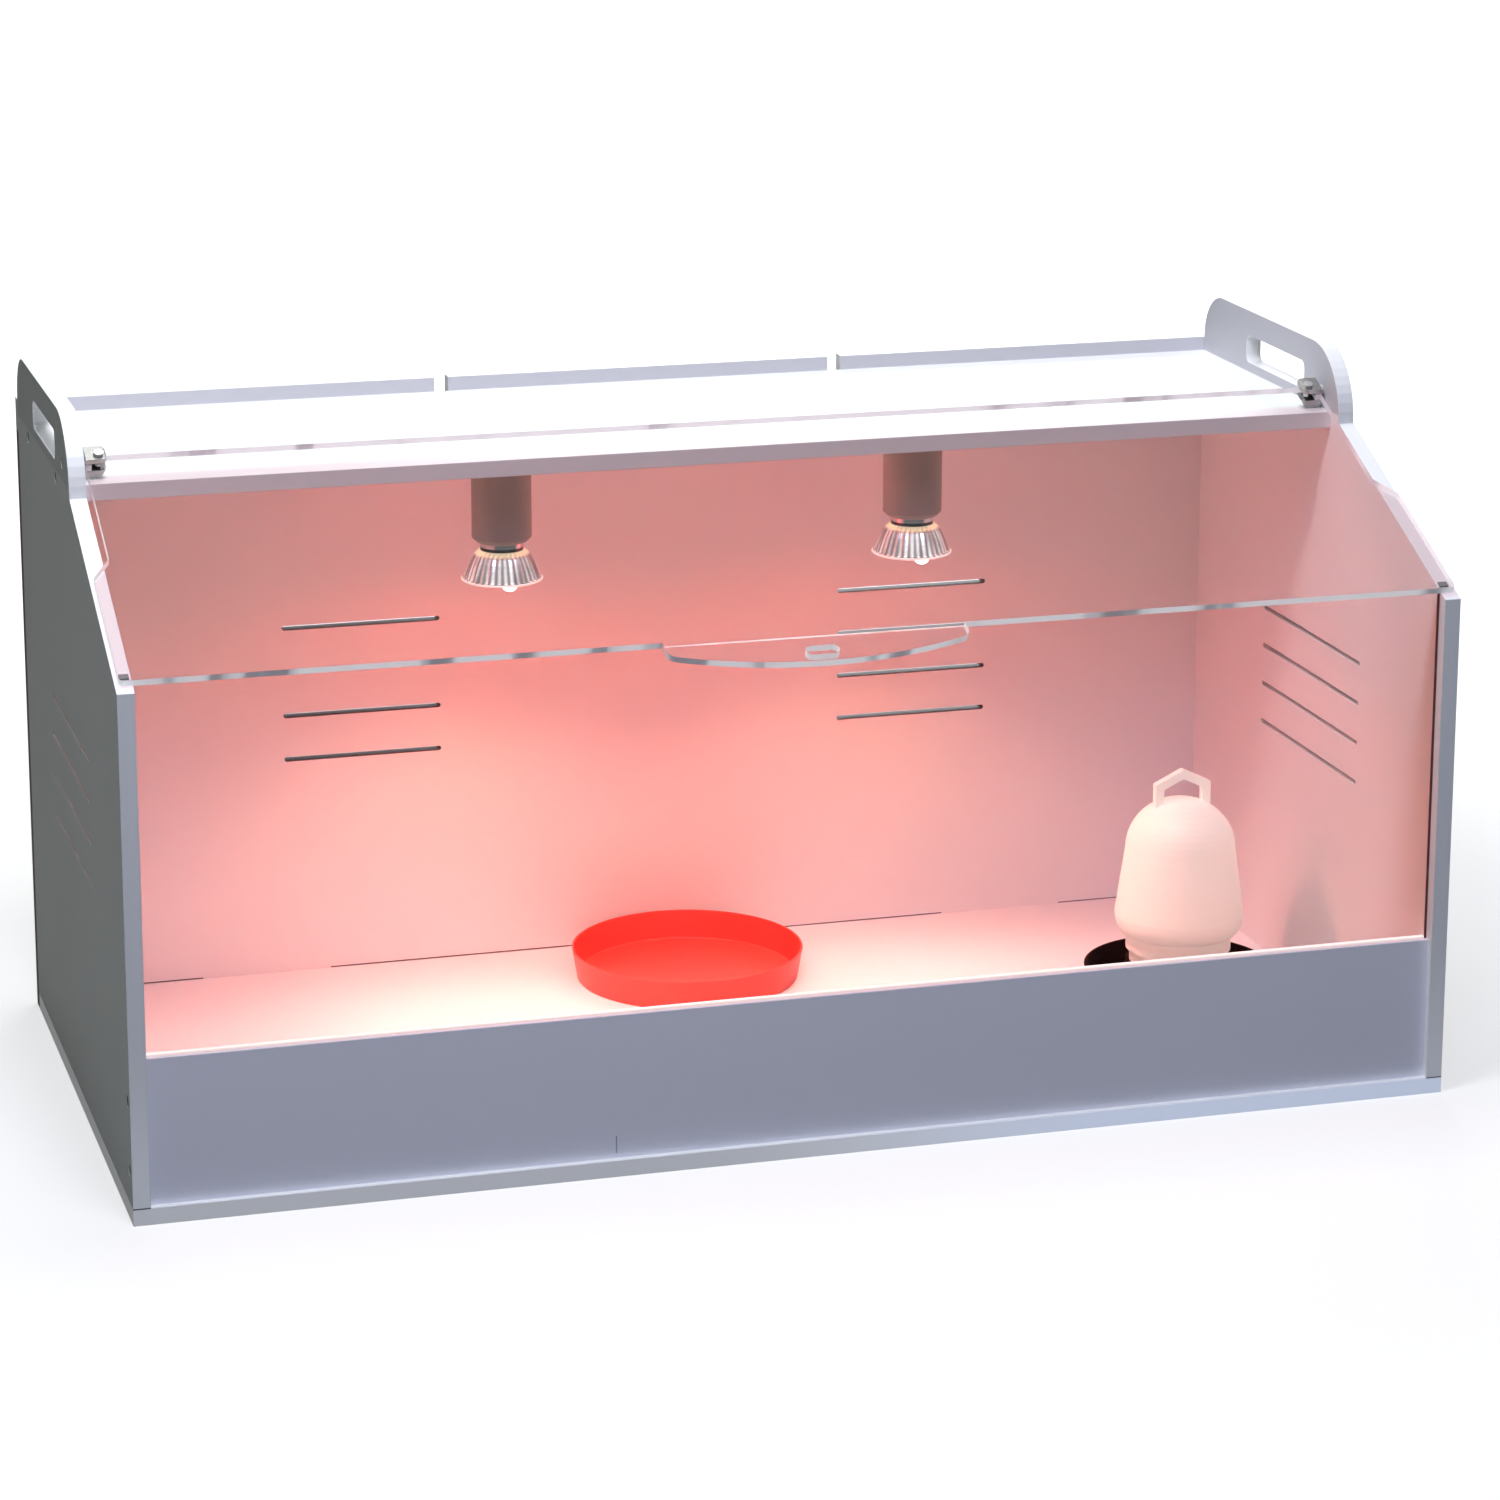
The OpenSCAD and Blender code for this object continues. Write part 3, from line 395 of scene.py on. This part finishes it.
def clear_sheet(name, face, edge_dark, edge_pale, glow, passing):
    """Polished clear sheet: a weak mirror over what lies behind it, and sawn edges with a painted glow for
    the light they pipe.
    """
    material, tree, edge = new_material(name)
    vary_colour(tree, edge, noise(tree, 30, (1, 0.2, 0.2)), edge_dark, edge_pale)
    vary_roughness(tree, edge, noise(tree, 900, (0.1, 1, 1)), 0.25, 0.5)
    edge.inputs["Emission Color"].default_value = (*edge_pale, 1)
    painted_edge_glow = span(tree, noise(tree, 30, (1, 0.2, 0.2)), 0.36, 0.5, 0.15 * glow, glow)
    tree.links.new(painted_edge_glow, edge.inputs["Emission Strength"])
    clear = add_node(tree, "ShaderNodeBsdfTransparent", Color=(0.97, 0.985, 0.99, 1))
    mirror = add_node(tree, "ShaderNodeBsdfGlossy")
    vary_roughness(tree, mirror, noise(tree, 260, (0.15, 1, 1)), 0.0, 0.06)
    slant = add_node(tree, "ShaderNodeLayerWeight", Blend=0.5)
    weak = span(tree, slant.outputs["Facing"], 0, 1, 0.006, 0.045)
    surface = mixed(tree, weak, clear.outputs["BSDF"], mirror.outputs["BSDF"])
    surface = mixed(tree, cut_edge(tree, face), surface, edge.outputs["BSDF"])
    see_through = add_node(tree, "ShaderNodeBsdfTransparent", Color=(*passing, 1))
    indirect = either_of(tree, "Is Shadow Ray", "Is Diffuse Ray")
    surface = mixed(tree, indirect, surface, see_through.outputs["BSDF"])
    tree.links.new(surface, tree.nodes["Material Output"].inputs["Surface"])
    return material


def lit_glass(name, colour, strength):
    """Glass of a burning lamp."""
    material, tree, shader = new_material(name)
    vary_colour(tree, shader, noise(tree, 300), (0.9, 0.86, 0.78), (1, 0.96, 0.9))
    shader.inputs["Roughness"].default_value = 0.25
    shader.inputs["Emission Color"].default_value = (*colour, 1)
    shader.inputs["Emission Strength"].default_value = strength
    return material


def lens_finish(side):
    """Front glass of a burning lamp, white hot at its middle."""
    material = lit_glass(f"{side}_lens", (1, 0.82, 0.7), 0.0)
    tree = material.node_tree
    vector, _ = from_middle(tree, f"{side}_bulb_lens")
    reach = add_node(tree, "ShaderNodeVectorMath", operation="LENGTH")
    tree.links.new(vector, reach.inputs[0])
    hot = span(tree, reach.outputs["Value"], LENS_HOT_R, 2 * LENS_HOT_R, 14.0, 0.7)
    tree.links.new(hot, tree.nodes["Principled BSDF"].inputs["Emission Strength"])
    return material


def painted_reflection_streaks(tree, vector):
    """Painted reflections: light and dark streaks round the upright axis, uneven as in a mirror's ribs."""
    angle = add_node(tree, "ShaderNodeTexGradient", gradient_type="RADIAL")
    ribs = add_node(tree, "ShaderNodeMath", operation="MULTIPLY")
    ribs.inputs[1].default_value = 2 * math.pi * BELL_STREAKS
    wave = add_node(tree, "ShaderNodeMath", operation="SINE")
    tree.links.new(vector, angle.inputs["Vector"])
    tree.links.new(angle.outputs["Fac"], ribs.inputs[0])
    tree.links.new(ribs.outputs["Value"], wave.inputs[0])
    return product(tree, span(tree, wave.outputs["Value"], -1, 1, 0.4), noise(tree, 110, (1, 1, 0.1)))


def bell_finish(side):
    """Mirror coat of a lit bulb's bell, gold at the neck: painted reflections as light and dark streaks along
    its ribs, in its colour and in a glow that grows towards the mouth, and a painted highlight as a glow on
    the neck.
    """
    material, tree, shader = new_material(f"{side}_bell")
    vector, tall = from_middle(tree, f"{side}_bulb_reflector")
    height = height_of(tree, vector)
    streaks = painted_reflection_streaks(tree, vector)
    neck = span(tree, height, 0.3 * tall, 0.42 * tall)
    chrome = add_node(tree, "ShaderNodeMix", data_type="RGBA")
    chrome.inputs["A"].default_value = (0.42, 0.33, 0.33, 1)
    chrome.inputs["B"].default_value = (1, 0.93, 0.92, 1)
    coat = add_node(tree, "ShaderNodeMix", data_type="RGBA")
    coat.inputs["B"].default_value = (1, 0.86, 0.58, 1)
    tree.links.new(span(tree, streaks, 0.1, 0.6), chrome.inputs["Factor"])
    tree.links.new(neck, coat.inputs["Factor"])
    tree.links.new(chrome.outputs["Result"], coat.inputs["A"])
    tree.links.new(coat.outputs["Result"], shader.inputs["Base Color"])
    tree.links.new(coat.outputs["Result"], shader.inputs["Emission Color"])
    glow = product(tree, streaks, span(tree, height, 0.3 * tall, -0.5 * tall, 0.3, BELL_GLOW))
    rim = add_node(tree, "ShaderNodeMath", operation="ADD")
    tree.links.new(glow, rim.inputs[0])
    tree.links.new(span(tree, neck, 0, 1, 0, NECK_GLOW), rim.inputs[1])
    tree.links.new(rim.outputs["Value"], shader.inputs["Emission Strength"])
    shader.inputs["Metallic"].default_value = 0.85
    shader.inputs["Roughness"].default_value = 0.24
    return material


def ring_finish(side):
    """Turned collar of a bulb: a painted reflection, bright on its upper part and dark below."""
    material, tree, shader = new_material(f"{side}_ring")
    vector, tall = from_middle(tree, f"{side}_bulb_collar")
    bright = span(tree, height_of(tree, vector), -0.15 * tall, 0.05 * tall)
    vary_colour(tree, shader, bright, (0.05, 0.04, 0.04), (0.82, 0.8, 0.78))
    vary_roughness(tree, shader, noise(tree, 500), 0.15, 0.3)
    shader.inputs["Metallic"].default_value = 1.0
    return material


def make_materials():
    return {
        "white_panel": panel("white_panel", *PANEL_TONES),
        # The lid's sawn edges carry a pale painted glow
        "clear_sheet": clear_sheet("clear_sheet", LID_FACE, (0.66, 0.66, 0.72), (0.94, 0.95, 0.98), 0.42,
                                   (0.92, 0.81, 0.81)),
        "nickel": metal("nickel", (0.36, 0.36, 0.35), (0.5, 0.5, 0.48), 0.26, 400),
        "steel": metal("steel", (0.42, 0.42, 0.43), (0.6, 0.6, 0.61), 0.35, 500),
        "washer_plastic": plastic("washer_plastic", (0.36, 0.36, 0.35), (0.5, 0.5, 0.48), 0.5, 500, 0.00002),
        "pad_rubber": plastic("pad_rubber", (0.02, 0.02, 0.02), (0.04, 0.04, 0.04), 0.75, 600, 0.00004),
        "bumper_rubber": plastic("bumper_rubber", (0.16, 0.16, 0.16), (0.22, 0.22, 0.22), 0.75, 600, 0.00004),
        "holder_body": plastic("holder_body", (0.36, 0.31, 0.27), (0.46, 0.4, 0.35), 0.6, 300, 0.000015),
        "contact_brass": metal("contact_brass", (0.62, 0.46, 0.2), (0.74, 0.57, 0.28), 0.35, 400),
        "cap_metal": metal("cap_metal", (0.5, 0.5, 0.52), (0.68, 0.68, 0.7), 0.3, 400),
        "collar_brass": metal("collar_brass", (0.83, 0.6, 0.25), (0.92, 0.72, 0.36), 0.18, 400),
        "reflector_metal": metal("reflector_metal", (0.82, 0.8, 0.82), (0.92, 0.9, 0.9), 0.1, 300),
        "lens_glass": lit_glass("lens_glass", (1, 0.82, 0.62), 9.0),
        "capsule_glass": lit_glass("capsule_glass", (1, 0.85, 0.66), 12.0),
        "tray_red": plastic("tray_red", (0.8, 0.062, 0.046), (0.88, 0.088, 0.068), 0.34, 160, 0.00005),
        "dish_black": plastic("dish_black", (0.012, 0.002, 0.002), (0.018, 0.003, 0.003), 0.6, 160, 0.00005,
                              shine=0.05),
        # The jar: pale plastic with a painted warm glow
        "jar_ivory": milky("jar_ivory", (0.9, 0.89, 0.82), (0.95, 0.94, 0.87), (1, 0.85, 0.76), (0.1, 0.3)),
    }


def dress_nodes(materials):
    """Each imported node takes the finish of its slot, and then some panels and the bulbs their own."""
    for part in frame["record"]["subparts"]:
        data = NODES[part["node"]].data
        data.materials.clear()
        data.materials.append(materials[part["material_slot"]])
    # The window's sawn edges carry a pink painted glow
    NODES["front_window"].data.materials[0] = clear_sheet(
        "window_sheet", WINDOW_FACE, (0.7, 0.52, 0.5), (0.95, 0.84, 0.82), 0.3, (0.62, 0.36, 0.24))
    # The front panel is the white sheet with a painted bluish tint for the cool light on its face
    front = panel("front_sheet", (0.87, 0.88, 0.97), (0.91, 0.92, 1))
    # Painted light on the walls of the window's groove
    NODES["front_panel"].data.materials[0] = painted_groove_light(
        front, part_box("front_window")[0].y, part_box("front_panel")[1].z)
    # Painted light along the floor's sawn edges
    NODES["floor_panel"].data.materials[0] = painted_rim_light(panel("floor_sheet", *PANEL_TONES))
    # Painted shade on the back and side panels where they rise past the top panel
    for node, (face, grey) in RIM_TONES.items():
        sheet = panel(f"{node}_sheet", *PANEL_TONES)
        NODES[node].data.materials[0] = painted_shade_above(sheet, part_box("top_panel")[1].z, face, grey)
    # Painted light at the foot of the side panels' sawn edges
    for side in SIDES:
        node = f"{side}_side_panel"
        painted_foot_light(NODES[node].data.materials[0], RIM_TONES[node][0])
    # Painted shade on the cut faces of the back panel's slots
    back = NODES["back_panel"].data.materials[0]
    dark_slots(back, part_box("top_panel")[0].z, RIM_TONES["back_panel"][0])
    NODES["side_screws"].data.materials[0] = metal("screw_black", (0.03,) * 3, (0.06,) * 3, 0.5, 500)
    # Painted reflections on each bulb's bell and collar; the lens glows as part of the lamp
    for side in SIDES:
        NODES[f"{side}_bulb_reflector"].data.materials[0] = bell_finish(side)
        NODES[f"{side}_bulb_collar"].data.materials[0] = ring_finish(side)
        NODES[f"{side}_bulb_lens"].data.materials[0] = lens_finish(side)


# Painted shade in the narrow gaps at the panels' joints and beside the window, a kerf mark, and the fronts of
# the bulbs
def add_piece(name, shape, material):
    """A finished shape, fixed to the box's body."""
    mesh = bpy.data.meshes.new(name)
    shape.to_mesh(mesh)
    shape.free()
    mesh.materials.append(material)
    piece = link_new(name, mesh)
    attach(piece, "box")


def strip(name, low, high, material):
    """A thin box between two corners."""
    shape = bmesh.new()
    bmesh.ops.create_cube(shape, size=1.0)
    low, high = Vector(low), Vector(high)
    bmesh.ops.scale(shape, vec=high - low, verts=shape.verts)
    bmesh.ops.translate(shape, vec=(low + high) / 2, verts=shape.verts)
    add_piece(name, shape, material)


def shade(name, low, high):
    """A dull material for thin strips: painted shade in a narrow gap, and the kerf's own mark."""
    return plastic(name, low, high, 0.8, 300, 0.00002)


def add_marks():
    """Lines under the sides, in the front panel, between floor and back, and beside the window: painted shade
    in the gaps, and a kerf mark in the front panel.
    """
    seam = shade("seam_shade", (0.1, 0.1, 0.1), (0.2, 0.2, 0.2))
    slit = shade("slit_shade", (0.1, 0.02, 0.02), (0.16, 0.04, 0.04))
    gap = shade("gap_shade", (0.05, 0.025, 0.025), (0.12, 0.06, 0.06))
    kerf = shade("kerf_mark", (0.3, 0.31, 0.36), (0.42, 0.43, 0.48))
    # Painted shade in the gap under each side panel
    for side in SIDES:
        low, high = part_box(f"{side}_side_panel")
        strip(f"{side}_seam", (low.x, low.y - MARK_T, low.z - SEAM_W / 2),
              (high.x, low.y, low.z + SEAM_W / 2), seam)
    low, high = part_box("front_panel")
    strip("front_kerf", (KERF_X, low.y - MARK_T, low.z + KERF_LOW),
          (KERF_X + SEAM_W, low.y, low.z + KERF_HIGH), kerf)
    back_low, back_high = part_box("back_panel")
    wide, deep, level = back_high.x, back_low.y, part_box("floor_panel")[1].z
    near, far = JOINT_BREAKS
    # Painted shade in the gap between floor and back
    for name, start, end in (("left", -wide, -far), ("middle", -near, near), ("right", far, wide)):
        strip(f"{name}_gap_line", (start, deep - MARK_T, level), (end, deep, level + SEAM_W), gap)
    # Painted shade in the slit beside the window
    window_low, window_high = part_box("front_window")
    strip("window_slit", (high.x - SLIT_W, window_low.y - MARK_T, high.z),
          (high.x, window_low.y, window_high.z), slit)


def lathe(name, centre, section, material):
    """An outline of (radius, height) pairs, turned round an upright axis and closed where it ends open."""
    shape = bmesh.new()
    turns = [2 * math.pi * i / LATHE_STEPS for i in range(LATHE_STEPS)]
    rings = [[shape.verts.new(centre + Vector((r * math.cos(t), r * math.sin(t), h))) for t in turns]
             for r, h in section]
    for lower, upper in zip(rings, rings[1:]):
        for i in range(LATHE_STEPS):
            k = (i + 1) % LATHE_STEPS
            face = shape.faces.new((lower[i], lower[k], upper[k], upper[i]))
            face.smooth = True
    bmesh.ops.remove_doubles(shape, verts=shape.verts, dist=WELD)
    bmesh.ops.holes_fill(shape, edges=[edge for edge in shape.edges if edge.is_boundary])
    bmesh.ops.recalc_face_normals(shape, faces=shape.faces)
    add_piece(name, shape, material)


def foot_of(low, high):
    """The middle of a box's lower face."""
    return Vector(((low.x + high.x) / 2, (low.y + high.y) / 2, low.z))


def add_bulb_fronts():
    """The glass rim round each bulb's mouth and the hot bead of glass at its front."""
    rim_glass = lit_glass("rim_glass", (1, 0.74, 0.66), 0.55)
    dome_glass = lit_glass("dome_glass", (1, 0.93, 0.85), 3.0)
    for side in SIDES:
        low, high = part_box(f"{side}_bulb_reflector")
        mouth = foot_of(low, high)
        rim_r = (high.x - low.x) / 2 + RIM_OUT
        full = [2 * math.pi * i / RIM_STEPS for i in range(RIM_STEPS + 1)]
        round_section = [(rim_r + RIM_T * math.cos(t), RIM_T * (1 + math.sin(t))) for t in full]
        lathe(f"{side}_bulb_rim", mouth, round_section, rim_glass)
        quarter = [math.pi / 2 * i / DOME_STEPS for i in range(DOME_STEPS + 1)]
        dome = [(DOME_R * math.cos(t) + MARK_T, -DOME_H * math.sin(t)) for t in quarter]
        lathe(f"{side}_bulb_dome", mouth - Vector((0, rim_r - DOME_R, 0)), dome, dome_glass)


# Light and ground
def area_light(name, place, target, size, power, colour):
    data = bpy.data.lights.new(name, "AREA")
    data.shape = "DISK"
    data.size = size
    data.energy = power
    data.color = colour
    light = link_new(name, data)
    light.location = place
    light.rotation_euler = (Vector(target) - Vector(place)).to_track_quat("-Z", "Y").to_euler()


def lamp_glow(name, place, power, colour, angle, soft):
    """Light of a burning bulb, downwards."""
    data = bpy.data.lights.new(name, "SPOT")
    data.energy = power
    data.color = colour
    data.spot_size = math.radians(angle)
    data.spot_blend = soft
    data.shadow_soft_size = LAMP_R
    light = link_new(name, data)
    light.location = place


def lamp_spill(name, place, power, colour):
    """Light that the bulb's glass scatters to all sides."""
    data = bpy.data.lights.new(name, "POINT")
    data.energy = power
    data.color = colour
    data.shadow_soft_size = SPILL_R
    light = link_new(name, data)
    light.location = place - Vector((0, 0, SPILL_DROP))


def make_lights():
    area_light("sky", (0, 0.35, 2.4), (0, 0.1, 0.4), 0.9, 19, (0.97, 0.985, 1))
    area_light("key", (-0.35, -0.5, 1.6), (0.1, 0, 0.3), 0.4, 13, (0.98, 0.97, 1))
    area_light("back_fill", (0.9, 2.4, 1.5), (0, 0.2, 0.2), 1.2, 20, (0.97, 0.985, 1))
    area_light("left_fill", (-1.0, -0.2, 1.1), (-0.4, 0, 0.4), 0.6, 0.8, (0.97, 1, 0.93))
    area_light("front_fill", (-0.35, -2.0, 2.5), (0, 0, 0.2), 1.2, 23, (0.54, 0.63, 1))
    for side in SIDES:
        low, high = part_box(f"{side}_bulb_lens")
        below = foot_of(low, high) - Vector((0, 0, LAMP_BELOW))
        share = LAMP_SHARE[side]
        lamp_glow(f"{side}_core", below, 2.0 * share, (1, 0.58, 0.5), 80, 1.0)
        lamp_glow(f"{side}_beam", below, 2.3 * share, (1, 0.41, 0.27), 118, 0.6)
        lamp_glow(f"{side}_halo", below, 0.5 * share, (1, 0.07, 0.03), 168, 0.3)
        lamp_spill(f"{side}_spill", below, 0.14 * share, (1, 0.03, 0.05))


def make_world():
    """White to the camera, a soft grey as light, a bright ceiling over dark walls in reflections."""
    world = bpy.data.worlds.new("world")
    world.use_nodes = True
    tree = world.node_tree
    seen = add_node(tree, "ShaderNodeBackground", Color=(1, 1, 1, 1), Strength=1.0)
    light = tree.nodes["Background"]
    light.inputs["Color"].default_value = (0.95, 1, 0.9, 1)
    light.inputs["Strength"].default_value = 0.07
    mirrored = add_node(tree, "ShaderNodeBackground", Color=(1, 1, 1, 1))
    place = add_node(tree, "ShaderNodeTexCoord")
    ceiling = span(tree, height_of(tree, place.outputs["Generated"]), 0.1, 0.7, 0.25, 0.95)
    path = add_node(tree, "ShaderNodeLightPath")
    tree.links.new(ceiling, mirrored.inputs["Strength"])
    room = mixed(tree, path.outputs["Is Glossy Ray"], light.outputs["Background"],
                 mirrored.outputs["Background"])
    room = mixed(tree, straight_rays(tree), room, seen.outputs["Background"])
    tree.links.new(room, tree.nodes["World Output"].inputs["Surface"])
    bpy.context.scene.world = world


def make_floor():
    """A pale ground that shows the object's shadow and throws little light back."""
    bpy.ops.mesh.primitive_plane_add(size=GROUND_SIZE, location=(0, 0, 0))
    ground = bpy.context.object
    ground.name = "ground"
    material, tree, unused = new_material("ground")
    tree.nodes.remove(unused)
    lit = add_node(tree, "ShaderNodeBsdfDiffuse", Color=(0.45, 0.45, 0.45, 1))
    lift = add_node(tree, "ShaderNodeEmission", Color=(1, 1, 1, 1))
    place = add_node(tree, "ShaderNodeTexCoord")
    reach = add_node(tree, "ShaderNodeVectorMath", operation="LENGTH")
    tree.links.new(place.outputs["Object"], reach.inputs[0])
    fade = span(tree, reach.outputs["Value"], GROUND_NEAR, GROUND_FAR, GROUND_LIFT, 1.0)
    tree.links.new(fade, lift.inputs["Strength"])
    pale = add_node(tree, "ShaderNodeAddShader")
    dull = add_node(tree, "ShaderNodeBsdfDiffuse", Color=(0.19, 0.195, 0.18, 1))
    tree.links.new(lit.outputs["BSDF"], pale.inputs[0])
    tree.links.new(lift.outputs["Emission"], pale.inputs[1])
    surface = mixed(tree, straight_rays(tree), dull.outputs["BSDF"], pale.outputs["Shader"])
    tree.links.new(surface, tree.nodes["Material Output"].inputs["Surface"])
    ground.data.materials.append(material)


bpy.context.scene.view_settings.view_transform = "Standard"
make_camera()
dress_nodes(make_materials())
add_marks()
add_bulb_fronts()
make_lights()
make_world()
make_floor()
